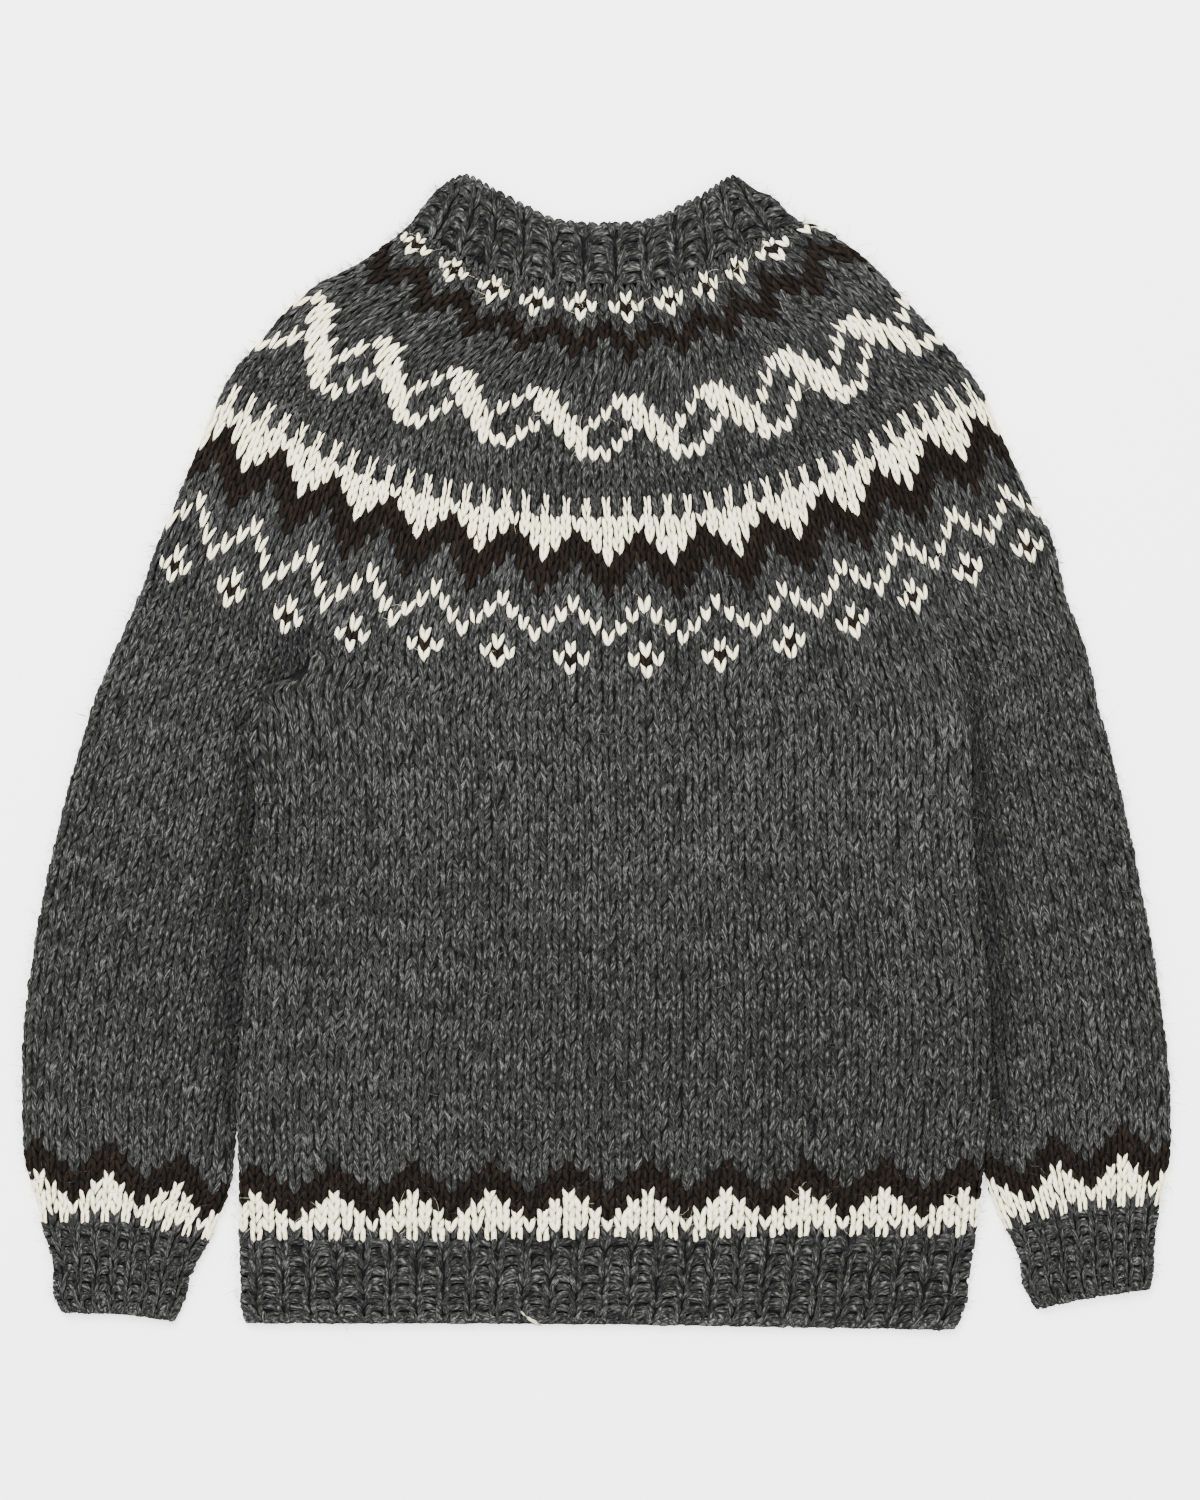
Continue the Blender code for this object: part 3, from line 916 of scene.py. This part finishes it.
def finish_piece(knitted, context, fabric, first_row, last_row):
    """Makes the stitches' meshes and the thin cloth that carries them and stands for the solid."""
    yarns, ground = materials(context)
    pieces = knitted.meshes(yarns)
    cloth = mesh_piece(knitted.name + "_cloth", cloth_shell(fabric, first_row, last_row), ground)
    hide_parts(knitted.node)


# Materials


class Value:
    """A shader socket in Python sums: each operator adds its Math node."""

    def __init__(self, recipe, socket):
        self.recipe = recipe
        self.socket = socket

    def maths(self, operation, *values):
        inputs = dict(enumerate(values))
        return self.recipe.node("ShaderNodeMath", {"operation": operation}, inputs)

    def __add__(self, other):
        return self.maths("ADD", self, other)

    __radd__ = __add__

    def __sub__(self, other):
        return self.maths("SUBTRACT", self, other)

    def __rsub__(self, other):
        return self.maths("SUBTRACT", other, self)

    def __mul__(self, other):
        return self.maths("MULTIPLY", self, other)

    __rmul__ = __mul__

    def __pow__(self, other):
        return self.maths("POWER", self, other)

    def __abs__(self):
        return self.maths("ABSOLUTE", self)

    def floor(self):
        return self.maths("FLOOR", self)

    def fraction(self):
        return self.maths("FRACT", self)

    def beside(self, output):
        """Another output of the same node."""
        return Value(self.recipe, self.socket.node.outputs[output])


OBJECT_COORDINATES = 3  # the output of a Texture Coordinate node
# painted shade: the near-black grey of the ground cloth in the gaps between the stitches
PAINTED_GAP_SHADE = 0.005


class Recipe:
    """A material under construction."""

    def __init__(self, name):
        self.material = bpy.data.materials.new(name)
        self.material.use_nodes = True
        self.tree = self.material.node_tree
        self.shader = self.tree.nodes["Principled BSDF"]

    def feed(self, socket, value):
        if isinstance(value, Value):
            self.tree.links.new(value.socket, socket)
        else:
            socket.default_value = value

    def node(self, kind, settings=None, inputs=None, output=0):
        """Adds a node: its settings first, then the values or links of its sockets."""
        node = self.tree.nodes.new(kind)
        for name, value in (settings or {}).items():
            if name == "stops":
                self.set_stops(node.color_ramp, value)
            else:
                setattr(node, name, value)
        for name, value in (inputs or {}).items():
            self.feed(node.inputs[name], value)
        return Value(self, node.outputs[output])

    @staticmethod
    def set_stops(ramp, stops):
        while len(ramp.elements) < len(stops):
            ramp.elements.new(0.5)
        for element, (place, colour) in zip(ramp.elements, stops):
            element.position = place
            element.color = colour

    def vector(self, x, y, z):
        return self.node("ShaderNodeCombineXYZ", {}, {"X": x, "Y": y, "Z": z})

    def noise(self, vector, scale, detail=2.0, roughness=0.6):
        inputs = {"Vector": vector, "Scale": scale, "Detail": detail, "Roughness": roughness}
        return self.node("ShaderNodeTexNoise", {"noise_dimensions": "3D"}, inputs)

    def finish(self, colour, roughness, height, strength, distance, sheen=0.0):
        shader = self.shader.inputs
        self.feed(shader["Base Color"], colour)
        self.feed(shader["Roughness"], roughness)
        shader["Specular IOR Level"].default_value = SHINE
        shader["Sheen Weight"].default_value = sheen
        shader["Sheen Roughness"].default_value = SHEEN_ROUGHNESS
        bump = {"Height": height, "Strength": strength, "Distance": distance}
        self.feed(shader["Normal"], self.node("ShaderNodeBump", {}, bump))
        return self.material


SHINE = 0.04
SHEEN_ROUGHNESS = 0.6
LEG_WIDTH = 3.4  # size of a strip of yarn, in millimetres
LEG_LENGTH = 9.5
STRIP_STEPS = (3.7, 11.3)  # how far the fibres' noise moves on from strip to strip
TWIST = 0.5  # how much the slant of the fibres varies between the strips of a row
FINE_ACROSS, FINE_ALONG = 2.6, 2.4  # how much finer the second set of fibres is
FINE_STEP = 40.0  # and how far its noise lies from the first
FIBRE_SHARE = 0.68  # of the first set in the tone
FIBRE_RELIEF = 0.6  # and in the relief
PAINTED_SIDE_SHADE = 0.45  # painted shade: how much darker the sides of each strip of yarn are painted, as shade between the stitches
WOOL_ROUGHNESS = 0.82
WOOL_RELIEF = 0.0006  # metres

# The look of a yarn: its lighter and darker fibres, as (place in the noise, factor of its colour),
# the width and length of a fibre in millimetres, and the tones of its darkest and lightest strip.
YarnLook = namedtuple("YarnLook", "stops across along tone_low tone_high bump sheen")
YARN_LOOKS = (
    YarnLook(
        ((0.40, 0.18), (0.46, 0.5), (0.52, 1.05), (0.575, 2.8), (0.65, 7.5)),
        0.60, 3.4, 0.55, 1.55, 0.7, 0.02,
    ),
    YarnLook(((0.32, 0.55), (0.45, 0.88), (0.56, 1.0)), 0.38, 5.0, 0.88, 1.05, 0.5, 0.05),
    YarnLook(((0.34, 0.3), (0.50, 0.9), (0.62, 2.2), (0.74, 4.5)), 0.5, 4.5, 0.75, 1.3, 0.5, 0.0),
)


def shade(colour, factor):
    """A colour made lighter or darker, with its alpha."""
    return (*[value * factor for value in colour], 1.0)


def yarn_material(name, look, colour):
    """Wool: fibres run along the yarn, lighter and darker ones mixed, each strip with its own tone, which
    carries painted shade from the hollows; each strip's sides are painted darker as shade between the
    stitches.
    """
    recipe = Recipe(name)
    place = recipe.node("ShaderNodeUVMap", {"uv_map": MAP_NAME})
    split = recipe.node("ShaderNodeSeparateXYZ", {}, {"Vector": place})
    u, v = split * TILES, split.beside(1) * TILES
    column, line = u.floor(), v.floor()
    across, along = u.fraction(), v.fraction()
    strip = column * STRIP_STEPS[0] + line * STRIP_STEPS[1]
    twist = (column * (1 / TILES) - 0.5) * TWIST
    skew = across * LEG_WIDTH + along * LEG_LENGTH * twist
    spot = recipe.vector(skew * (1 / look.across), along * (LEG_LENGTH / look.along), strip)
    fibre = recipe.noise(spot, scale=1.0, detail=3.0, roughness=0.65)
    fine_along = along * (FINE_ALONG * LEG_LENGTH / look.along)
    spot = recipe.vector(skew * (FINE_ACROSS / look.across), fine_along, strip + FINE_STEP)
    fine = recipe.noise(spot, scale=1.0)
    mixed = fibre * FIBRE_SHARE + fine * (1 - FIBRE_SHARE)
    stops = [(position, shade(colour, factor)) for position, factor in look.stops]
    wool = recipe.node("ShaderNodeValToRGB", {"stops": stops}, {"Fac": mixed})
    tone = look.tone_low + line * ((look.tone_high - look.tone_low) / (TILES - 1))
    # painted shade: each strip darkens towards its sides
    side = abs(across - 0.5) * 2.0
    tone_with_painted_shade = tone * (1.0 - PAINTED_SIDE_SHADE * side**3.0)
    tint = recipe.vector(tone_with_painted_shade, tone_with_painted_shade, tone_with_painted_shade)
    toned = recipe.node("ShaderNodeVectorMath", {"operation": "MULTIPLY"}, {0: wool, 1: tint})
    height = fibre * FIBRE_RELIEF + fine * (1 - FIBRE_RELIEF)
    return recipe.finish(toned, WOOL_ROUGHNESS + mixed * 0.2, height, look.bump, WOOL_RELIEF, look.sheen)


def ground_material(name, grey):
    """The cloth that shows between the stitches, painted near-black as shade in the gaps."""
    recipe = Recipe(name)
    place = recipe.node("ShaderNodeTexCoord", {}, {}, OBJECT_COORDINATES)
    grain = recipe.noise(place, scale=900.0)
    stops = ((0.35, shade((grey,) * 3, 0.5)), (0.65, shade((grey,) * 3, 1.5)))
    wool = recipe.node("ShaderNodeValToRGB", {"stops": stops}, {"Fac": grain})
    return recipe.finish(wool, roughness=0.95, height=grain, strength=0.4, distance=0.0004)


def materials(context):
    """The three yarns and the ground cloth, whose near-black is painted shade, made once."""
    yarns = context.scene.sweater_yarns
    found = []
    for name, look in zip(YARN_NAMES, YARN_LOOKS):
        known = bpy.data.materials.get(name + "_yarn")
        found.append(known or yarn_material(name + "_yarn", look, getattr(yarns, name)))
    ground = bpy.data.materials.get("ground_yarn") or ground_material("ground_yarn", PAINTED_GAP_SHADE)
    return found, ground


# The tubes of the sweater


def course_sections(courses, half):
    """Sections of the yoke or the neckband, with their wales in the count of this half width."""
    sections = []
    for course in courses:
        line = Line([guide[1:] for guide in course.guides])
        factor = half / course.guides[-1][0]
        marks = [(guide[0] * factor, knot) for guide, knot in zip(course.guides, line.knots)]
        sections.append(Section(line, course.row, marks))
    return sections


def band_sections(bands):
    """Sections of the body or the hem. The body's wales are spread evenly from its middle, wale 0."""
    sections = []
    for band in bands:
        line = Line([(band.lx, band.ly), (band.mx, band.my), (band.rx, band.ry)])
        middle = band.wr / 2 if band.wl == 0 else 0.0
        marks = [(band.wl, 0.0), (middle, line.knots[1]), (band.wr, line.length)]
        over = (band.over_l, band.over_r)
        sections.append(Section(line, band.row, marks, over, (band.rise_l, band.rise_r)))
    return sections


def ring_sections(rings, mirrored, first_row, top=None, rows=None):
    """Sections of a sleeve or cuff, and the number of its rows. Wales are counted from the outer fold,
    which is on the left edge or, when mirrored, on the right."""
    lines = [Line([(ring.lx, ring.ly), (ring.mx, ring.my), (ring.rx, ring.ry)]) for ring in rings]
    ends = [(ring.start, ring.wales) for ring in rings]
    if top is not None:
        lines.insert(0, top[0])
        ends.insert(0, top[1:])
    middles = [line.at(np.array([line.length / 2]))[0] for line in lines]
    steps = [np.linalg.norm(b - a) for a, b in zip(middles, middles[1:])]
    along = np.concatenate([[0.0], np.cumsum(steps)])
    total = rows if rows is not None else round(along[-1] / ROW_PITCH) + 0.5
    sections = []
    for line, (start, end), distance in zip(lines, ends, along):
        row = first_row - distance / along[-1] * total
        marks = [(-end, 0.0), (-start, line.length)] if mirrored else [(start, 0.0), (end, line.length)]
        sections.append(Section(line, row, marks))
    return sections, total


def chart_sides(chart, wale, row, first_column, half):
    """The kinds of stitch on the front (1) and the back (-1), where the chart goes on round the folds."""
    behind = np.where(wale >= 0, 2 * half - wale, -2 * half - wale)
    return {
        1: chart_kinds(chart, wale, row, first_column),
        -1: chart_kinds(chart, behind, row, first_column),
    }


def make_body(context):
    seam = course_sections(YOKE_COURSES[:1], YOKE_HALF)[0]
    top_line = seam.line.part(*ARMPITS)
    marks = list(zip((LEFT_ARMPIT, 0.0, BODY_HALF), top_line.knots))
    top = Section(top_line, FIRST_COURSE, marks, rise=(0.45, 0.0))
    fabric = Fabric([top] + band_sections(BODY_BANDS), seed=11)
    wale, row = fabric.stitches(np.arange(-29, 30), np.arange(BODY_LAST_ROW, FIRST_COURSE + 1))
    chart_row = row - BODY_LAST_ROW + 1
    kinds = chart_sides(BORDER_CHART, wale, chart_row, 3, BODY_HALF)
    knitted = Knitted("body")
    knit(knitted, fabric, wale, row, kinds)
    fuzz(knitted, fabric, CHARCOAL, 2600, halo=0.1)
    cream = kinds[1] == CREAM
    fuzz(knitted, fabric, CREAM, 120, (wale[cream], row[cream]), halo=0.0)
    finish_piece(knitted, context, fabric, BODY_LAST_ROW - 0.6, CLOTH_TOP)


def yarn_tail():
    """The felted end of cream yarn that hangs from the hem."""
    radii = np.array([0.0, 0.25, 0.3, 0.5, 1.4, 2.2, 2.0, 0.0])
    start = np.array([[-50.0, -313.0, 6.6]])
    turn, length, curl, rise = (np.array([value]) for value in (-0.98, 26.0, 0.6, 0.4))
    points, faces = hairs(start, turn, length, curl, rise, radii)
    points[0, :, 2] = np.maximum(points[0, :, 2], 0.4)
    places = np.full((points.shape[1], 2), 0.5)
    places[:, 1] = np.linspace(0.88, 0.99, points.shape[1])
    return Copies(points[0], faces, places)


def make_hem(context):
    fabric = Fabric(band_sections(HEM_BANDS), seed=12)
    knitted = Knitted("hem", node="hem_rib")
    rows = BODY_LAST_ROW - 1 - np.arange(HEM_ROWS)[::-1]
    rib(knitted, fabric, np.arange(0.4, HEM_WALES), rows, knit_phase=1.4)
    edge(knitted, fabric, rows[0] - 0.6, step=0.6)
    fuzz(knitted, fabric, CHARCOAL, 420, halo=0.1)
    knitted.add(CREAM, "tail", [yarn_tail()])
    finish_piece(knitted, context, fabric, -67.3, -57.2)


def make_yoke(context):
    knitted = Knitted("yoke")
    for number, zone in enumerate(YOKE_ZONES):
        fabric = Fabric(course_sections(YOKE_COURSES, zone.half), seed=20 + number)
        reach = math.floor(zone.half)
        wales = np.arange(-reach, reach + 1)
        wale, row = fabric.stitches(wales, np.arange(zone.first, zone.last + 1))
        kinds = chart_sides(zone.chart, wale, row, zone.first_column, zone.half)
        knit(knitted, fabric, wale, row, kinds)
        for yarn, count in ((CHARCOAL, 520), (CREAM, 60), (BLACK_BROWN, 60)):
            chosen = kinds[1] == yarn
            if chosen.any():
                fuzz(knitted, fabric, yarn, count, (wale[chosen], row[chosen]), halo=0.25)
        if number == 0:
            short_rows(knitted, fabric, wales, zone.first, FIRST_COURSE)
    fabric = Fabric(course_sections(YOKE_COURSES, YOKE_HALF), seed=29)
    finish_piece(knitted, context, fabric, -3.3, 36.6)


def make_neckband(context):
    fabric = Fabric(course_sections(NECK_COURSES, NECK_HALF), seed=31)
    knitted = Knitted("neckband")
    rib(knitted, fabric, np.arange(-NECK_HALF, NECK_HALF + 1), np.arange(37.0, 42.3), knit_phase=1)
    edge(knitted, fabric, 42.45, step=0.7)
    fuzz(knitted, fabric, CHARCOAL, 160)
    finish_piece(knitted, context, fabric, 36.2, 42.5)


# A sleeve: the part of the first yoke course that it hangs from, by its guides, and the wales at the
# two ends of that part; then its first wale, the way in which its wales are counted, and where the
# border's chart starts.
Sleeve = namedtuple("Sleeve", "rings cuff_rings guides start end first_wale way first_column seed")
SLEEVES = {
    "left": Sleeve(LEFT_SLEEVE_RINGS, LEFT_CUFF_RINGS, (0, 1), -1.0, 16.0, -0.5, 1, 0, 41),
    "right": Sleeve(RIGHT_SLEEVE_RINGS, RIGHT_CUFF_RINGS, (3, 4), 0.0, 13.0, 0.5, -1, 4, 42),
}


def make_sleeve(context, side):
    sleeve = SLEEVES[side]
    seam = course_sections(YOKE_COURSES[:1], YOKE_HALF)[0]
    top = (seam.line.part(*sleeve.guides), sleeve.start, sleeve.end)
    sections, count = ring_sections(sleeve.rings, sleeve.way < 0, FIRST_COURSE, top)
    fabric = Fabric(sections, sleeve.seed, SLEEVE_SHADOWS)
    end = FIRST_COURSE - count
    wales = sleeve.way * np.arange(sleeve.first_wale, 18)
    wale, row = fabric.stitches(wales, np.arange(end + 0.5, FIRST_COURSE + 1))
    chart_row = np.round(row - end + 0.5)
    out = sleeve.way * wale - 0.5
    kinds = {
        1: chart_kinds(BORDER_CHART, out, chart_row, sleeve.first_column),
        -1: chart_kinds(BORDER_CHART, -1 - out, chart_row, sleeve.first_column),
    }
    knitted = Knitted("sleeve_" + side)
    knit(knitted, fabric, wale, row, kinds)
    fuzz(knitted, fabric, CHARCOAL, 900, halo=0.2)
    finish_piece(knitted, context, fabric, end - 0.1, CLOTH_TOP)
    make_cuff(context, side, end)


def make_cuff(context, side, first_row):
    sleeve = SLEEVES[side]
    sections, count = ring_sections(sleeve.cuff_rings, sleeve.way < 0, first_row, rows=CUFF_ROWS)
    fabric = Fabric(sections, sleeve.seed + 10)
    end = first_row - count
    wales = sleeve.way * np.arange(0.5, 17)
    knitted = Knitted("cuff_" + side)
    rib(knitted, fabric, wales, np.arange(end + 0.5, first_row), knit_phase=wales[1])
    edge(knitted, fabric, end - 0.1, step=0.6)
    fuzz(knitted, fabric, CHARCOAL, 120, halo=0.25)
    finish_piece(knitted, context, fabric, end + 0.2, first_row + 0.2)


# The stage


def make_floor(settings):
    bpy.ops.object.select_all(action="DESELECT")
    bpy.ops.mesh.primitive_plane_add(size=settings.floor_size, location=(0, 0, 0))
    floor = bpy.context.object
    floor.name = "floor"
    recipe = Recipe("floor_paper")
    place = recipe.node("ShaderNodeTexCoord", {}, {}, OBJECT_COORDINATES)
    grain = recipe.noise(place, scale=40.0)
    tone = settings.floor_colour
    stops = ((0.3, shade(tone, 0.995)), (0.7, shade(tone, 1.0)))
    colour = recipe.node("ShaderNodeValToRGB", {"stops": stops}, {"Fac": grain})
    recipe.finish(colour, roughness=0.9, height=grain, strength=0.02, distance=0.001)
    recipe.shader.inputs["Emission Color"].default_value = shade(tone, 1.0)
    recipe.shader.inputs["Emission Strength"].default_value = settings.floor_glow
    floor.data.materials.append(recipe.material)


# The softboxes: where they hang, their side, and their share of the power.
Softbox = namedtuple("Softbox", "name place side share")
SOFTBOXES = (
    Softbox("overhead_softbox", (-0.5, 0.9, 2.0), 1.2, 1.0),
    Softbox("fill_softbox", (0.9, -0.5, 2.0), 1.6, 0.35),
)


def make_lights(scene, settings):
    world = bpy.data.worlds.new("studio")
    world.use_nodes = True
    back = world.node_tree.nodes["Background"]
    back.inputs["Color"].default_value = (1.0, 1.0, 1.0, 1.0)
    back.inputs["Strength"].default_value = settings.ambient
    scene.world = world
    for softbox in SOFTBOXES:
        light = bpy.data.lights.new(softbox.name, "AREA")
        light.shape = "SQUARE"
        light.size = softbox.side
        light.energy = settings.key_power * softbox.share
        lamp = bpy.data.objects.new(softbox.name, light)
        scene.collection.objects.link(lamp)
        lamp.location = softbox.place
        lamp.rotation_euler = (-lamp.location).to_track_quat("-Z", "Y").to_euler()


def make_camera(scene, settings):
    """A camera straight above, whose lens takes in the view's width at the top of the cloth."""
    camera_data = bpy.data.cameras.new("camera")
    camera = bpy.data.objects.new("camera", camera_data)
    scene.collection.objects.link(camera)
    camera.location = (settings.view_x, settings.view_y, settings.camera_height)
    camera.rotation_euler = (0, 0, 0)
    camera_data.sensor_fit = "HORIZONTAL"
    camera_data.sensor_width = 36.0
    reach = settings.camera_height - STACK * MM
    camera_data.lens = camera_data.sensor_width * reach / settings.view_width
    camera_data.clip_end = 20.0
    scene.camera = camera


def make_stage(context):
    settings = context.scene.sweater_stage
    make_floor(settings)
    make_lights(context.scene, settings)
    make_camera(context.scene, settings)


# The add-on


class SweaterYarns(bpy.types.PropertyGroup):
    charcoal: bpy.props.FloatVectorProperty(
        name="Charcoal", description="Middle tone of the charcoal melange", subtype="COLOR",
        size=3, min=0.0, max=1.0, default=(0.0168, 0.0172, 0.0166),
    )
    cream: bpy.props.FloatVectorProperty(
        name="Cream", description="Undyed cream wool", subtype="COLOR",
        size=3, min=0.0, max=1.0, default=(0.95, 0.89, 0.63),
    )
    black_brown: bpy.props.FloatVectorProperty(
        name="Black-brown", description="Undyed black-brown wool", subtype="COLOR",
        size=3, min=0.0, max=1.0, default=(0.0072, 0.0053, 0.0041),
    )


class SweaterStage(bpy.types.PropertyGroup):
    floor_size: bpy.props.FloatProperty(
        name="Floor size", description="Side of the pale floor", default=8.0, unit="LENGTH",
    )
    floor_colour: bpy.props.FloatVectorProperty(
        name="Floor", description="Colour of the pale floor", subtype="COLOR",
        size=3, min=0.0, max=1.0, default=(0.82, 0.82, 0.815),
    )
    floor_glow: bpy.props.FloatProperty(
        name="Floor glow", description="Light that the floor gives, as a lit table does", default=1.6,
    )
    ambient: bpy.props.FloatProperty(
        name="Ambient", description="Strength of the even light from all round", default=1.9,
    )
    key_power: bpy.props.FloatProperty(
        name="Softbox power", description="Power of the main softbox in watts", default=120.0,
    )
    camera_height: bpy.props.FloatProperty(
        name="Camera height", description="Height of the camera over the floor", default=2.6, unit="LENGTH",
    )
    view_width: bpy.props.FloatProperty(
        name="View width", description="Width that the camera sees at the cloth", default=0.69, unit="LENGTH",
    )
    view_x: bpy.props.FloatProperty(
        name="View X", description="Middle of the view, across", default=0.0023, unit="LENGTH",
    )
    view_y: bpy.props.FloatProperty(
        name="View Y", description="Middle of the view, along", default=0.0014, unit="LENGTH",
    )


class SWEATER_OT_body(bpy.types.Operator):
    """Knit the body tube with its patterned border"""

    bl_idname = "sweater.body"
    bl_label = "Body"

    def execute(self, context):
        make_body(context)
        return {"FINISHED"}


class SWEATER_OT_hem(bpy.types.Operator):
    """Knit the hem rib"""

    bl_idname = "sweater.hem"
    bl_label = "Hem rib"

    def execute(self, context):
        make_hem(context)
        return {"FINISHED"}


class SWEATER_OT_yoke(bpy.types.Operator):
    """Knit the round patterned yoke"""

    bl_idname = "sweater.yoke"
    bl_label = "Yoke"

    def execute(self, context):
        make_yoke(context)
        return {"FINISHED"}


class SWEATER_OT_neckband(bpy.types.Operator):
    """Knit the neckband"""

    bl_idname = "sweater.neckband"
    bl_label = "Neckband"

    def execute(self, context):
        make_neckband(context)
        return {"FINISHED"}


class SWEATER_OT_sleeves(bpy.types.Operator):
    """Knit both sleeves with their patterned borders and cuffs"""

    bl_idname = "sweater.sleeves"
    bl_label = "Sleeves and cuffs"

    def execute(self, context):
        for side in ("left", "right"):
            make_sleeve(context, side)
        return {"FINISHED"}


class SWEATER_OT_stage(bpy.types.Operator):
    """Set up the pale floor, the soft light and the camera straight above"""

    bl_idname = "sweater.stage"
    bl_label = "Stage"

    def execute(self, context):
        make_stage(context)
        return {"FINISHED"}


class SWEATER_PT_panel(bpy.types.Panel):
    """Lists the pieces of the sweater"""

    bl_idname = "SWEATER_PT_panel"
    bl_label = "Nordic yoke sweater"
    bl_space_type = "VIEW_3D"
    bl_region_type = "UI"
    bl_category = "Sweater"

    def draw(self, context):
        for name in ("charcoal", "cream", "black_brown"):
            self.layout.prop(context.scene.sweater_yarns, name)
        for operator in OPERATORS:
            self.layout.operator(operator.bl_idname)


OPERATORS = (
    SWEATER_OT_body,
    SWEATER_OT_hem,
    SWEATER_OT_yoke,
    SWEATER_OT_neckband,
    SWEATER_OT_sleeves,
    SWEATER_OT_stage,
)
CLASSES = (SweaterYarns, SweaterStage) + OPERATORS + (SWEATER_PT_panel,)


def register():
    for item in CLASSES:
        bpy.utils.register_class(item)
    bpy.types.Scene.sweater_yarns = bpy.props.PointerProperty(type=SweaterYarns)
    bpy.types.Scene.sweater_stage = bpy.props.PointerProperty(type=SweaterStage)


def unregister():
    del bpy.types.Scene.sweater_stage
    del bpy.types.Scene.sweater_yarns
    for item in reversed(CLASSES):
        bpy.utils.unregister_class(item)


def main():
    register()
    bpy.ops.sweater.body()
    bpy.ops.sweater.hem()
    bpy.ops.sweater.yoke()
    bpy.ops.sweater.neckband()
    bpy.ops.sweater.sleeves()
    bpy.ops.sweater.stage()


if __name__ == "__main__":
    main()
